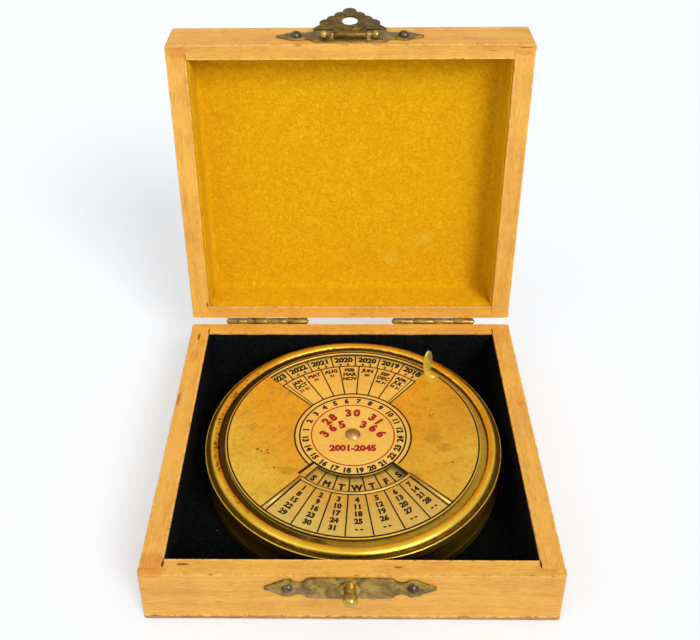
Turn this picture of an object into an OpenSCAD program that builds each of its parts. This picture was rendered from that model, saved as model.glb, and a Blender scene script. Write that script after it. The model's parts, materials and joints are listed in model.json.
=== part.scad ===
// Perpetual desk calendar of turned brass, lying in a small hinged wooden case.
// The case is drawn with its lid open. X runs to the right, Y to the back and Z up,
// and the origin is the centre of the case's underside. All sizes are in millimetres.

/* [Calendar] */
// Height of the calendar, from under its felt to the crown of the rim
base_h = 12.4; // [10.5:0.1:13]
// Diameter of the turning disc
disc_d = 70; // [64:0.5:80]
// Width of the base's rim outside the disc
flange_w = 5.6; // [5.2:0.1:8]
// Thickness of the turning disc
disc_t = 1; // [0.8:0.05:1.2]
// Angle by which the disc is turned from the plate's upright
disc_turn = 2.8; // [0:0.1:12]
// Thickness of the fixed dial plate
plate_t = 1.25; // [1:0.05:1.6]
// Radius where the weekday window starts
week_r = 14.85; // [12:0.05:16]
// Radius where the year window starts
year_r = 28.3; // [26:0.1:29]
// Height of the turning tab above the disc
tab_h = 8.7; // [6:0.1:10]
// Diameter of the centre rivet's head
rivet_d = 4.2; // [3.8:0.1:6]

/* [Case] */
// Free room between the calendar and the felt at the left and right
side_room = 3.2; // [1.5:0.1:8]
// Free room between the calendar and the felt at the front and back
end_room = 0.8; // [0.7:0.1:6]
// Thickness of the left and right boards
side_t = 5.6; // [4:0.1:8]
// Thickness of the front and back boards
end_t = 4.3; // [4:0.1:7]
// Thickness of the bottom and top panels
panel_t = 1.5; // [1:0.1:2.5]
// Thickness of the felt lining
felt_t = 0.6; // [0.4:0.1:1.2]
// Height of the tray with its panel
tray_h = 16.2; // [15.5:0.1:24]
// Height of the lid with its panel
lid_h = 12.6; // [12.4:0.1:20]
// Angle at which the open lid stands
open_angle = 89.5; // [80:0.5:95]

/* [Hinges] */
// Length of each hinge
hinge_len = 25.4; // [18:0.1:32]
// Diameter of the hinge knuckles
knuckle_d = 2; // [1.8:0.1:3]
// Height of each hinge leaf
leaf_h = 7; // [6:0.1:8]
// Thickness of the hinge leaves
leaf_t = 0.6; // [0.5:0.05:0.8]
// Diameter of the hinge pins
pin_d = 0.9; // [0.7:0.05:1.2]

/* [Hasp and catch] */
// Length of the hasp plate and of the catch plate
escutcheon_len = 40.4; // [38:0.2:46]
// Height of the catch plate at its middle
escutcheon_h = 7; // [6.4:0.1:8]
// Height of the hasp plate at its middle
hasp_plate_h = 8.2; // [7:0.1:9]
// Thickness of the plates
escutcheon_t = 0.5; // [0.4:0.05:0.7]
// Width of the hasp's flap
flap_w = 20; // [18:0.2:24]
// Length of the hasp's flap from its pin
flap_l = 14.6; // [14:0.1:16]
// Thickness of the hasp's flap
flap_t = 0.6; // [0.4:0.05:0.7]
// Angle by which the flap is folded back from its closed place
flap_angle = 173; // [150:1:178]
// Diameter of the catch post's ball
ball_d = 3.5; // [3:0.1:3.8]

/* [Hidden] */

$fn = 96;
eps = 0.01;        // overlap of a cutting tool past the face it cuts
slip = 0.05;       // radial play of a pin, shank or nail in its hole
air = 0.3;         // free air between the two halves of a hinge

// Case, sized round the calendar
base_d = disc_d + 2 * flange_w;
case_w = base_d + 2 * (side_room + felt_t + side_t);
case_d = base_d + 2 * (end_room + felt_t + end_t);
inner_w = case_w - 2 * side_t;
inner_d = case_d - 2 * end_t;
rebate = 0.47 * end_t;         // wood left outside the side boards' ends
corner_r = 0.8;                // rounding of the case's upright corners
felt_drop = 0.6;               // the felt stops this far below the rim
seam = 0.25;                   // gap that the hinges leave between lid and tray

// Hinges: the pin's axis lies behind the back boards, at the middle of the seam
hinge_x = 0.263 * case_w;
pin_out = knuckle_d / 2 + air;
pin_y = case_d / 2 + pin_out;
pin_z = tray_h + seam / 2;
knuckles = 4;
knuckle_gap = 0.12;
nail_drop = 0.66 * leaf_h;     // the nails' distance from the pin
nail_head_d = 2.2;
nail_head_h = 0.6;
nail_shank_d = 0.9;
nail_len = 3.2;

// Hasp: heights are above the lid's rim, the pin stands out from the lid's front
hasp_drop = 7.1;               // from the lid's top to the plate's middle
hasp_pin_drop = 2.4;           // from the plate's middle to the pin
hasp_z = lid_h - hasp_drop;
hasp_pin_z = hasp_z - hasp_pin_drop;
hasp_pin_out = 1.7;
hasp_pin_d = 0.9;
hasp_knuckle_d = 1.7;
hasp_ball_d = 2.3;
hasp_ball_x = 7.05;
flap_strap_w = 8.6;
flap_out = 1.45;               // distance of the closed flap's middle from the wood
screw_head_d = 3.1;
screw_head_h = 1.3;
screw_x = 0.364 * escutcheon_len;

// Catch: the post is met by the flap's hole when the case is shut
catch_x = -0.3;                // the plate sits a little left of the tray's middle
catch_drop = 4.2;              // from the tray's rim to the plate's middle
post_rise = 0.4;               // the post stands this far above the plate's middle
catch_z = tray_h - catch_drop;
post_z = catch_z + post_rise;
post_out = 3.75;
post_neck_d = 3;
post_foot_d = 4.8;
post_tail_d = 1.6;
catch_nail_d = 2.8;
catch_nail_h = 0.9;
hole_s = seam + tray_h + hasp_pin_z - post_z;
hole_w = ball_d + 0.8;
hole_l = ball_d + 1.7;

// Calendar: its place in the tray, then its heights from the tray's felt up
cal_at = [0.6, 0.45, 0];
cal_z = panel_t + felt_t;
pad_t = 0.6;
crown_z = cal_z + base_h;
rim_r = 1.4;
lip_r = 0.25;
recess_r = disc_d / 2 + 1.85;
rim_at = recess_r + rim_r - 0.15;
lip_at = base_d / 2 - lip_r;
cove_at = (rim_at + rim_r + lip_at - lip_r) / 2;
cove_r = (lip_at - lip_r - rim_at - rim_r) / 2 + 0.05;
shoulder_z = crown_z - rim_r;
plate_drop = 1.35;             // from the rim's crown to the dial plate's top
plate_z = crown_z - plate_drop;
disc_lift = 0.13;              // the washer holds the disc this far above the plate
disc_z = plate_z + disc_lift;
rivet_shank_d = 3;
tail_room = 1.6;               // depth of the pocket for the rivet's spread tail
washer_d = 8;
washer_t = 0.33;
cells = 28;                    // cells round the dial plate
window_half = 3.42 * 360 / cells;
week_w = 5.35;
edge_w = 1.1;                  // metal of the disc outside the year window
year_w = disc_d / 2 - year_r - edge_w;
tab_w = 3.8;
tab_t = 0.6;
tab_at = disc_d / 2 - 1.8;
tab_foot = [3, 4.4, 0.45];
tab_rivet_d = 1;

pine = "#e0a55a";
edge_wood = "#a8662c";
gold_felt = "#d79a1c";
black_felt = "#141414";
brass = "#c9962f";
old_brass = "#8a7340";
dark_steel = "#4a3f3a";

// ---------------------------------------------------------------- placing

// The lid is drawn shut and turned back about the hinge pins.
module open_lid() {
    translate([0, pin_y, pin_z]) rotate([-open_angle, 0, 0]) translate([0, -pin_y, -pin_z])
        translate([0, 0, tray_h + seam]) children();
}

// Stands a plan on the case's front: the plan's Y becomes up, its thickness goes outwards.
module on_front(z = 0, x = 0) {
    translate([x, -case_d / 2, z]) rotate([90, 0, 0]) children();
}

module both_sides(x) {
    for (s = [-1, 1]) translate([s * x, 0, 0]) children();
}

// Cap of a ball with the given width and height, flat face down at Z 0.
module dome(d, h) {
    ball = (d * d / 4 + h * h) / (2 * h);
    intersection() {
        translate([0, 0, h - ball]) sphere(r = ball);
        cylinder(h = h + eps, r = d);
    }
}

// ---------------------------------------------------------------- case

module case_plan() {
    w = case_w / 2 - corner_r;
    d = case_d / 2 - corner_r;
    for (x = [-w, w]) for (y = [-d, d]) translate([x, y]) circle(r = corner_r);
    square([case_w, 2 * d], center = true);
    square([2 * w, case_d], center = true);
}

module opening_plan(inset = 0) {
    square([inner_w - 2 * inset, inner_d - 2 * inset], center = true);
}

// Left and right boards lie between the rebates of the front and back boards.
module side_board(side, h) {
    translate([side * (case_w - side_t) / 2, 0, 0]) linear_extrude(h)
        square([side_t, case_d - 2 * rebate], center = true);
}

// Front and back boards run the full width, with rebates for the side boards' ends.
module end_board(end, h) {
    linear_extrude(h) intersection() {
        difference() {
            case_plan();
            both_sides(case_w / 2)
                square([2 * side_t, case_d - 2 * rebate], center = true);
            opening_plan();
        }
        translate([0, end * case_d / 2]) square([case_w + 1, 2 * end_t], center = true);
    }
}

module panel() {
    linear_extrude(panel_t) case_plan();
}

module flat_felt() {
    linear_extrude(felt_t) opening_plan();
}

module wall_felt(h) {
    linear_extrude(h) difference() {
        opening_plan();
        opening_plan(felt_t);
    }
}

tray_board_h = tray_h - panel_t;
lid_board_h = lid_h - panel_t;

module tray_panel() {
    color(edge_wood) panel();
}

module tray_front_board() {
    color(pine) difference() {
        translate([0, 0, panel_t]) end_board(-1, tray_board_h);
        on_front(catch_z, catch_x) nail_holes(screw_x);
        on_front(post_z, catch_x) cylinder(h = 2 * nail_len, d = post_tail_d + 2 * slip, center = true);
    }
}

module tray_back_board() {
    color(pine) difference() {
        translate([0, 0, panel_t]) end_board(1, tray_board_h);
        hinge_nail_holes(-1);
    }
}

module tray_left_board() {
    color(pine) translate([0, 0, panel_t]) side_board(-1, tray_board_h);
}

module tray_right_board() {
    color(pine) translate([0, 0, panel_t]) side_board(1, tray_board_h);
}

module tray_floor_felt() {
    color(black_felt) translate([0, 0, panel_t]) flat_felt();
}

module tray_wall_felt() {
    color(black_felt) translate([0, 0, panel_t + felt_t])
        wall_felt(tray_board_h - felt_t - felt_drop);
}

module lid_panel() {
    color(pine) open_lid() translate([0, 0, lid_board_h]) panel();
}

module lid_front_board() {
    color(pine) open_lid() difference() {
        end_board(-1, lid_board_h);
        on_front(hasp_z) nail_holes(screw_x);
    }
}

module lid_back_board() {
    color(pine) open_lid() difference() {
        end_board(1, lid_board_h);
        translate([0, 0, -tray_h - seam]) hinge_nail_holes(1);
    }
}

module lid_left_board() {
    color(pine) open_lid() side_board(-1, lid_board_h);
}

module lid_right_board() {
    color(pine) open_lid() side_board(1, lid_board_h);
}

module lid_ceiling_felt() {
    color(gold_felt) open_lid() translate([0, 0, lid_board_h - felt_t]) flat_felt();
}

module lid_wall_felt() {
    color(gold_felt) open_lid() translate([0, 0, felt_drop])
        wall_felt(lid_board_h - felt_t - felt_drop);
}

// ---------------------------------------------------------------- hinges

module along_hinge() {
    translate([0, pin_y, pin_z]) rotate([90, 0, 90]) children();
}

// One half of a hinge about its pin: up is 1 for the lid's half and -1 for the tray's.
// Seen along the pin, the leaf is a flat strip and its knuckles are rolled round the pin.
module hinge_half(x, up, first) {
    pitch = hinge_len / knuckles;
    half = hinge_len / 2;
    translate([x - half, 0, 0]) along_hinge() difference() {
        union() {
            linear_extrude(hinge_len) translate([-pin_out, up > 0 ? pin_out : -leaf_h])
                square([leaf_t, leaf_h - pin_out]);
            for (i = [first:2:knuckles - 1]) translate([0, 0, i * pitch + knuckle_gap / 2])
                linear_extrude(pitch - knuckle_gap) {
                    circle(d = knuckle_d);
                    translate([-pin_out, up > 0 ? 0 : -pin_out - eps])
                        square([leaf_t, pin_out + eps]);
                }
        }
        translate([0, 0, -eps]) cylinder(h = hinge_len + 2 * eps, d = pin_d + 2 * slip);
        for (i = [-1:1]) translate([-pin_out, up * nail_drop, half + i * 0.36 * hinge_len])
            rotate([0, 90, 0])
                cylinder(h = 4 * leaf_t, d = nail_shank_d + 2 * slip, center = true);
    }
}

// Carries its children to the three nail places of both hinges, on the back boards.
module hinge_nail_places(up) {
    for (s = [-1, 1]) for (i = [-1:1])
        translate([s * hinge_x + i * 0.36 * hinge_len, case_d / 2, pin_z + up * nail_drop])
            rotate([-90, 0, 0]) children();
}

module hinge_nail_holes(up) {
    hinge_nail_places(up)
        cylinder(h = 2 * nail_len, d = nail_shank_d + 2 * slip, center = true);
}

module nail() {
    dome(nail_head_d, nail_head_h);
    translate([0, 0, -nail_len]) cylinder(h = nail_len + eps, d = nail_shank_d);
}

module hinge_pin(x) {
    reach = hinge_len / 2;
    translate([x - reach, 0, 0]) along_hinge() {
        cylinder(h = hinge_len, d = pin_d);
        translate([0, 0, hinge_len]) dome(1.6 * pin_d, 0.4);
        mirror([0, 0, 1]) dome(1.6 * pin_d, 0.4);
    }
}

module shut_lid_frame() {
    open_lid() translate([0, 0, -tray_h - seam]) children();
}

module hinge_tray_leaf_left() {
    color(old_brass) hinge_half(-hinge_x, -1, 0);
}

module hinge_tray_leaf_right() {
    color(old_brass) hinge_half(hinge_x, -1, 0);
}

module hinge_lid_leaf_left() {
    color(old_brass) shut_lid_frame() hinge_half(-hinge_x, 1, 1);
}

module hinge_lid_leaf_right() {
    color(old_brass) shut_lid_frame() hinge_half(hinge_x, 1, 1);
}

module hinge_pin_left() {
    color(old_brass) hinge_pin(-hinge_x);
}

module hinge_pin_right() {
    color(old_brass) hinge_pin(hinge_x);
}

module hinge_tray_nails() {
    color(dark_steel) hinge_nail_places(-1) translate([0, 0, leaf_t]) nail();
}

module hinge_lid_nails() {
    color(dark_steel) shut_lid_frame() hinge_nail_places(1) translate([0, 0, leaf_t]) nail();
}

// ---------------------------------------------------------------- hasp and catch

// Outline of a stamped plate: a straight middle, sloping to a band that tapers to a small
// round tip at each end, a round lobe for each fastener and scooped necks between them.
module escutcheon_plan(height) {
    lobe_r = 0.42 * escutcheon_h;
    tip_r = 0.75;
    tip_x = escutcheon_len / 2 - tip_r;
    band_h = 0.82 * lobe_r;
    band_x = screw_x + 0.5 * lobe_r;
    neck_x = 0.3 * escutcheon_len;
    neck_h = 0.28 * height;
    scoop_r = 2.1;
    middle = 0.23 * escutcheon_len;
    half_h = height / 2;
    difference() {
        union() {
            polygon([
                [tip_x, -tip_r], [tip_x, tip_r], [band_x, band_h], [neck_x, band_h],
                [middle, half_h], [-middle, half_h], [-neck_x, band_h], [-band_x, band_h],
                [-tip_x, tip_r], [-tip_x, -tip_r], [-band_x, -band_h], [-neck_x, -band_h],
                [-middle, -half_h], [middle, -half_h], [neck_x, -band_h], [band_x, -band_h]
            ]);
            both_sides(screw_x) circle(r = lobe_r);
            both_sides(tip_x) circle(r = tip_r);
        }
        for (s = [-1, 1]) both_sides(neck_x) translate([0, s * (neck_h + scoop_r)])
            circle(r = scoop_r);
    }
}

module nail_holes(x) {
    both_sides(x) cylinder(h = 4 * nail_len, d = nail_shank_d + 2 * slip, center = true);
}

module escutcheon(height) {
    difference() {
        linear_extrude(escutcheon_t) escutcheon_plan(height);
        nail_holes(screw_x);
    }
}

// Carries its children to the hasp pin's middle on the shut lid, with X along the pin.
module at_hasp_pin() {
    translate([0, -case_d / 2 - hasp_pin_out, hasp_pin_z]) children();
}

module hasp_plate() {
    ear_w = 1.1;
    color(old_brass) open_lid() {
        on_front(hasp_z) escutcheon(hasp_plate_h);
        difference() {
            at_hasp_pin() both_sides(flap_strap_w / 2 + ear_w / 2 + 0.15) {
                rotate([0, 90, 0]) cylinder(h = ear_w, d = hasp_knuckle_d, center = true);
                translate([0, (hasp_pin_out - escutcheon_t + eps) / 2, 0])
                    cube([ear_w, hasp_pin_out - escutcheon_t + eps, hasp_knuckle_d], center = true);
            }
            at_hasp_pin() rotate([0, 90, 0])
                cylinder(h = 4 * hasp_ball_x, d = hasp_pin_d + 2 * slip, center = true);
        }
    }
}

module hasp_pin() {
    color(brass) open_lid() at_hasp_pin() {
        rotate([0, 90, 0]) cylinder(h = 2 * hasp_ball_x, d = hasp_pin_d, center = true);
        both_sides(hasp_ball_x) sphere(d = hasp_ball_d);
    }
}

module hasp_screws() {
    color(dark_steel) open_lid() on_front(hasp_z) both_sides(screw_x) {
        translate([0, 0, escutcheon_t]) dome(screw_head_d, screw_head_h);
        translate([0, 0, -nail_len]) cylinder(h = nail_len + escutcheon_t + eps, d = nail_shank_d);
    }
}

// Outline of the flap, hanging down from the pin: a round lobe at the tip, three lobes
// down each slope and a pointed corner at each end of the straight base.
module flap_plan() {
    base_s = 2.2;
    tip_r = 1.95;
    lobe_r = 2.05;
    steps = 4;
    top = [0, flap_l - tip_r];
    foot = [flap_w / 2 - lobe_r + 0.3, base_s + 1.5];
    lobes = [for (i = [1:steps - 1]) top + (foot - top) * pow(i / steps, 0.93)];
    last = lobes[steps - 2];
    difference() {
        union() {
            translate([0, -top.y]) circle(r = tip_r);
            for (c = lobes) both_lobes(c, lobe_r);
            polygon([
                [-last.x - 1, -last.y], [0, -top.y], [last.x + 1, -last.y],
                [flap_w / 2, -base_s - 0.4], [flap_w / 2, -base_s],
                [-flap_w / 2, -base_s], [-flap_w / 2, -base_s - 0.4]
            ]);
        }
        translate([-flap_w, -base_s]) square([2 * flap_w, 2 * flap_w]);
    }
}

module both_lobes(centre, r) {
    for (s = [-1, 1]) translate([s * centre.x, -centre.y]) circle(r = r);
}

// An upright oval hole: the ball swings through it on its way past the flap.
module flap_hole() {
    for (s = [-1, 1]) translate([0, s * (hole_l - hole_w) / 2 - hole_s]) circle(d = hole_w);
    translate([0, -hole_s]) square([hole_w, hole_l - hole_w], center = true);
}

// The flap about its pin, closed: one leaf with a strap that is rolled round the pin.
module flap() {
    sheet = flap_out - hasp_pin_out;
    strap_l = 3;
    bow_h = 0.35;
    difference() {
        union() {
            rotate([90, 0, 0]) translate([0, 0, sheet - flap_t / 2]) {
                linear_extrude(flap_t) difference() {
                    flap_plan();
                    flap_hole();
                }
                linear_extrude(flap_t) translate([-flap_strap_w / 2, -strap_l])
                    square([flap_strap_w, strap_l]);
                translate([0, -strap_l, -bow_h]) linear_extrude(flap_t + bow_h) flap_boss_plan();
            }
            rotate([0, 90, 0]) cylinder(h = flap_strap_w, d = hasp_knuckle_d, center = true);
        }
        rotate([0, 90, 0])
            cylinder(h = 2 * flap_strap_w, d = hasp_pin_d + 2 * slip, center = true);
    }
}

// The raised bow at the flap's root, on the side that faces the wood when the case is shut:
// straight towards the hole and round towards the pin.
module flap_boss_plan() {
    bow_r = 7;
    half = flap_strap_w / 2;
    depth = bow_r - sqrt(bow_r * bow_r - half * half);
    intersection() {
        translate([0, -bow_r + depth]) circle(r = bow_r);
        translate([-half, -0.6]) square([2 * half, depth + 1]);
    }
}

module hasp_flap() {
    color(old_brass) open_lid() at_hasp_pin() rotate([-flap_angle, 0, 0]) flap();
}

module catch_plate() {
    color(old_brass) difference() {
        on_front(catch_z, catch_x) escutcheon(escutcheon_h);
        on_front(post_z, catch_x)
            cylinder(h = 2 * post_out, d = post_tail_d + 2 * slip, center = true);
    }
}

// The turned post: a round foot, a waisted neck and a ball, with a tail in the wood.
module catch_post() {
    foot_t = 0.45;
    color(brass) on_front(post_z, catch_x) {
        translate([0, 0, escutcheon_t]) cylinder(h = foot_t, d = post_foot_d);
        translate([0, 0, -nail_len]) cylinder(h = nail_len + post_out, d = post_tail_d);
        translate([0, 0, escutcheon_t]) cylinder(h = post_out - escutcheon_t, d = post_neck_d);
        translate([0, 0, post_out]) sphere(d = ball_d);
    }
}

module catch_nails() {
    color(dark_steel) on_front(catch_z, catch_x) both_sides(screw_x) {
        translate([0, 0, escutcheon_t]) dome(catch_nail_d, catch_nail_h);
        translate([0, 0, -nail_len]) cylinder(h = nail_len + escutcheon_t + eps, d = nail_shank_d);
    }
}

// ---------------------------------------------------------------- calendar

module ring(at, z, r) {
    rotate_extrude() translate([at, z]) circle(r = r, $fn = 48);
}

// Turned base: a waisted wall, a bead at the lip, a cove, the round rim and a recess.
module calendar_base() {
    foot_z = cal_z + pad_t;
    waist_r = 0.36 * base_h;
    waist_z = (foot_z + shoulder_z - lip_r) / 2;
    color(brass) translate(cal_at) difference() {
        union() {
            translate([0, 0, foot_z]) cylinder(h = shoulder_z - foot_z, r = lip_at);
            ring(rim_at, shoulder_z, rim_r);
            ring(lip_at, shoulder_z - lip_r + 0.05, lip_r);
        }
        ring(cove_at, shoulder_z + 0.1, cove_r);
        ring(lip_at + waist_r - 0.9, waist_z, waist_r);
        translate([0, 0, plate_z - plate_t]) cylinder(h = base_h, r = recess_r);
        cylinder(h = crown_z, d = rivet_shank_d + 2 * slip);
        translate([0, 0, foot_z - eps]) cylinder(h = tail_room + eps, d = 2.4 * rivet_shank_d);
    }
}

module base_pad() {
    color(black_felt) translate(cal_at + [0, 0, cal_z]) cylinder(h = pad_t, r = lip_at - 2.5);
}

module dial_plate() {
    color(brass) translate(cal_at + [0, 0, plate_z - plate_t]) difference() {
        cylinder(h = plate_t, r = recess_r - 0.1);
        translate([0, 0, -eps]) cylinder(h = plate_t + 1, d = rivet_shank_d + 2 * slip);
        translate([0, 0, plate_t - washer_t + disc_lift])
            cylinder(h = washer_t, d = washer_d + 4 * slip);
    }
}

module disc_washer() {
    color(old_brass) translate(cal_at + [0, 0, disc_z - washer_t]) difference() {
        cylinder(h = washer_t, d = washer_d);
        translate([0, 0, -eps]) cylinder(h = 1, d = rivet_shank_d + 2 * slip);
    }
}

// Sector of a ring, its middle towards the back of the case.
module sector_plan(r1, r2, half) {
    reach = 2 * r2;
    intersection() {
        difference() {
            circle(r = r2);
            circle(r = r1);
        }
        polygon([[0, 0], [reach * sin(half), reach * cos(half)],
            [-reach * sin(half), reach * cos(half)]]);
    }
}

module turned_disc() {
    translate(cal_at + [0, 0, disc_z]) rotate([0, 0, disc_turn]) children();
}

// Carries its children to the tab's place on the disc's top, with Y pointing outwards.
module tab_place() {
    turned_disc() translate([0, 0, disc_t]) rotate([0, 0, -window_half - 0.4]) children();
}

module rotating_disc() {
    color(brass) difference() {
        turned_disc() difference() {
            cylinder(h = disc_t, d = disc_d, $fn = 180);
            translate([0, 0, -eps]) cylinder(h = disc_t + 1, d = rivet_shank_d + 2 * slip);
            translate([0, 0, -1]) linear_extrude(disc_t + 2) {
                sector_plan(year_r, year_r + year_w, window_half);
                rotate(180) sector_plan(week_r, week_r + week_w, window_half - 1);
            }
        }
        tab_place() tab_rivet_place()
            cylinder(h = 4 * disc_t, d = tab_rivet_d + 2 * slip, center = true);
    }
}

module tab_rivet_place() {
    translate([tab_t + tab_foot.x / 2 + 0.2, tab_at, 0]) children();
}

// A leaf that stands on the window's edge, with a foot that lies on the disc.
module turning_tab() {
    step = 10;
    oval = [for (a = [0:step:359]) [tab_w / 2 * cos(a), tab_h / 2 * (1 + sin(a))]];
    color(brass) tab_place() difference() {
        union() {
            translate([0, tab_at, 0]) rotate([90, 0, 90]) linear_extrude(tab_t) {
                polygon(oval);
                translate([-0.3 * tab_w, 0]) square([0.6 * tab_w, 0.3 * tab_h]);
            }
            translate([0, tab_at - 0.3 * tab_w, 0])
                cube([tab_foot.x + tab_t, 0.6 * tab_w, tab_foot.z]);
        }
        tab_rivet_place() cylinder(h = tab_h, d = tab_rivet_d + 2 * slip, center = true);
    }
}

module tab_rivet() {
    color(brass) tab_place() tab_rivet_place() {
        translate([0, 0, tab_foot.z]) dome(1.7 * tab_rivet_d, 0.45);
        translate([0, 0, -disc_t]) cylinder(h = disc_t + tab_foot.z + eps, d = tab_rivet_d);
    }
}

// The pivot: a domed head over the disc, a shank and a tail spread under the base.
module centre_rivet() {
    tail_h = 0.9;
    head_z = disc_z + disc_t + 0.05;
    foot_z = cal_z + pad_t + tail_room - tail_h;
    color(brass) translate(cal_at) {
        translate([0, 0, head_z]) dome(rivet_d, 1.15);
        translate([0, 0, foot_z]) cylinder(h = head_z - foot_z + eps, d = rivet_shank_d);
        translate([0, 0, foot_z]) cylinder(h = tail_h, d = 2 * rivet_shank_d);
    }
}

// ---------------------------------------------------------------- the whole

tray_panel();
tray_front_board();
tray_back_board();
tray_left_board();
tray_right_board();
tray_floor_felt();
tray_wall_felt();
lid_panel();
lid_front_board();
lid_back_board();
lid_left_board();
lid_right_board();
lid_ceiling_felt();
lid_wall_felt();
hinge_tray_leaf_left();
hinge_tray_leaf_right();
hinge_lid_leaf_left();
hinge_lid_leaf_right();
hinge_pin_left();
hinge_pin_right();
hinge_tray_nails();
hinge_lid_nails();
hasp_plate();
hasp_pin();
hasp_screws();
hasp_flap();
catch_plate();
catch_post();
catch_nails();
calendar_base();
base_pad();
dial_plate();
disc_washer();
rotating_disc();
turning_tab();
tab_rivet();
centre_rivet();
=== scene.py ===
"""Looks of a perpetual desk calendar of turned brass that lies in a small wooden case."""

import json
from math import atan2, cos, pi, radians, sin

import bmesh
import bpy
import numpy as np
from mathutils import Matrix, Vector


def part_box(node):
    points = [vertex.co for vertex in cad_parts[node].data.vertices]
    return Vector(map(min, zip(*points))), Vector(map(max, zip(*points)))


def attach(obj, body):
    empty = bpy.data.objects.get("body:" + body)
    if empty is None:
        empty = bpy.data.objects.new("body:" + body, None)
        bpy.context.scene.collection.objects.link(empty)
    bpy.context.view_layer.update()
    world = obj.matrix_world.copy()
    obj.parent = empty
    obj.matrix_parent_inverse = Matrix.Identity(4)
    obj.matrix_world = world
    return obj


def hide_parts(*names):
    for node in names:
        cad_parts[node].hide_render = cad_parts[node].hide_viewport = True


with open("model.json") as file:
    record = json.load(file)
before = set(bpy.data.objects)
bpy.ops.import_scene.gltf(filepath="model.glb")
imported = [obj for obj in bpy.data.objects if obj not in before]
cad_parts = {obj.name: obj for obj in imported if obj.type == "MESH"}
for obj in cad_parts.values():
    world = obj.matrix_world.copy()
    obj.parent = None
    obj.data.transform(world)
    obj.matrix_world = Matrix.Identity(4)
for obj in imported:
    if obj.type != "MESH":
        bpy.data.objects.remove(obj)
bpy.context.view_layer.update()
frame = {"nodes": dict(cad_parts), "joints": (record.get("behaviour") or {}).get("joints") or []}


# ------------------------------------------------------------------ camera
# A camera a hand's width in front of the case and above it, which looks down at the dial. Its
# place and lens were fitted to the edges of the photographed case, in picture points.
MM = 0.001
EYE = Vector((-0.555, -189.78, 203.71)) * MM
YAW, PITCH, ROLL = radians(1.05), radians(29.94), radians(-0.64)
FOCAL_PX, CENTRE_PX, FRAME_PX = 940.4, (333.2, 183.4), (700, 640)

ahead = Vector((-sin(YAW) * cos(PITCH), cos(YAW) * cos(PITCH), -sin(PITCH)))
level = Vector((cos(YAW), sin(YAW), 0))
upright = level.cross(ahead)
right = level * cos(ROLL) + upright * sin(ROLL)
up = upright * cos(ROLL) - level * sin(ROLL)



def linked(name, data):
    """A new object of the scene, made from its data."""
    made = bpy.data.objects.new(name, data)
    bpy.context.scene.collection.objects.link(made)
    return made


camera = linked("camera", bpy.data.cameras.new("camera"))
camera.matrix_world = Matrix.Translation(EYE) @ Matrix((right, up, -ahead)).transposed().to_4x4()
camera.data.sensor_width = 36
camera.data.lens = FOCAL_PX * camera.data.sensor_width / FRAME_PX[0]
camera.data.shift_x = (FRAME_PX[0] / 2 - CENTRE_PX[0]) / FRAME_PX[0]
camera.data.shift_y = (CENTRE_PX[1] - FRAME_PX[1] / 2) / FRAME_PX[0]
camera.data.clip_start = 10 * MM
bpy.context.scene.camera = camera
bpy.context.scene.view_settings.view_transform = "Standard"


# ------------------------------------------------------------------ floor and light
# A white sheet under the case and a white room round it. One broad soft lamp stands to the
# right, a weaker one to the left, and the room fills the rest.
class Ink:
    """A socket of a shader tree. Arithmetic between inks and numbers adds Math nodes."""

    def __init__(self, tree, out=None):
        self.tree, self.out = tree, out

    def add(self, kind, settings=(), sockets=(), out=0):
        """Any node: its settings first, then values or links, by socket name or number."""
        node = self.tree.nodes.new("ShaderNode" + kind)
        for name, value in dict(settings).items():
            if name == "stops":
                first, *middle, last = value
                ends = node.color_ramp.elements
                ends[0].position, ends[0].color = first[0], (*first[1], 1)
                ends[1].position, ends[1].color = last[0], (*last[1], 1)
                for place, colour in middle:
                    ends.new(place).color = (*colour, 1)
            else:
                setattr(node, name, value)
        for key, value in dict(sockets).items():
            found = [s for s in node.inputs if s.enabled and s.name == key]
            socket = node.inputs[key] if isinstance(key, int) else found[0]
            if isinstance(value, Ink):
                self.tree.links.new(value.out, socket)
            elif socket.type == "RGBA" and len(value) == 3:
                socket.default_value = (*value, 1)
            else:
                socket.default_value = value
        return Ink(self.tree, [s for s in node.outputs if s.enabled][out])

    def math(self, operation, *values):
        """A Math node over inks and numbers."""
        return self.add("Math", {"operation": operation}, dict(enumerate(values)))

    def __add__(self, other):
        return self.math("ADD", self, other)

    def __sub__(self, other):
        return self.math("SUBTRACT", self, other)

    def __rsub__(self, other):
        return self.math("SUBTRACT", other, self)

    def __mul__(self, other):
        return self.math("MULTIPLY", self, other)

    __radd__ = __add__
    __rmul__ = __mul__

    def clamp(self):
        """This value, held between 0 and 1."""
        return self.add("Clamp", (), {"Value": self})

    def step(self, low, high):
        """0 below low, 1 above high and a smooth rise between; high may be the lower one."""
        rise = {"interpolation_type": "SMOOTHSTEP"}
        if low < high:
            return self.add("MapRange", rise, {"Value": self, "From Min": low, "From Max": high})
        return 1 - self.add("MapRange", rise, {"Value": self, "From Min": high, "From Max": low})

    def blend(self, other, share):
        """This colour with a share of another one over it."""
        return self.add("Mix", {"data_type": "RGBA"}, {"Factor": share, "A": self, "B": other})

    def tint(self, colour, share):
        """This colour multiplied by another one, by a share."""
        return self.add("Mix", {"data_type": "RGBA", "blend_type": "MULTIPLY"},
                        {"Factor": share, "A": self, "B": colour})

    def colour(self, value):
        """A plain colour to start from."""
        return self.add("Mix", {"data_type": "RGBA"}, {"Factor": 0.0, "A": value})


def material(name):
    """A new material with an empty tree, and the ink that adds to it."""
    made = bpy.data.materials.new(name)
    made.use_nodes = True
    made.node_tree.nodes.clear()
    return made, Ink(made.node_tree)


def finish_with(ink, shader):
    """Ends a material's tree with its surface shader."""
    output = ink.tree.nodes.new("ShaderNodeOutputMaterial")
    ink.tree.links.new(shader.out, output.inputs["Surface"])


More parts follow.
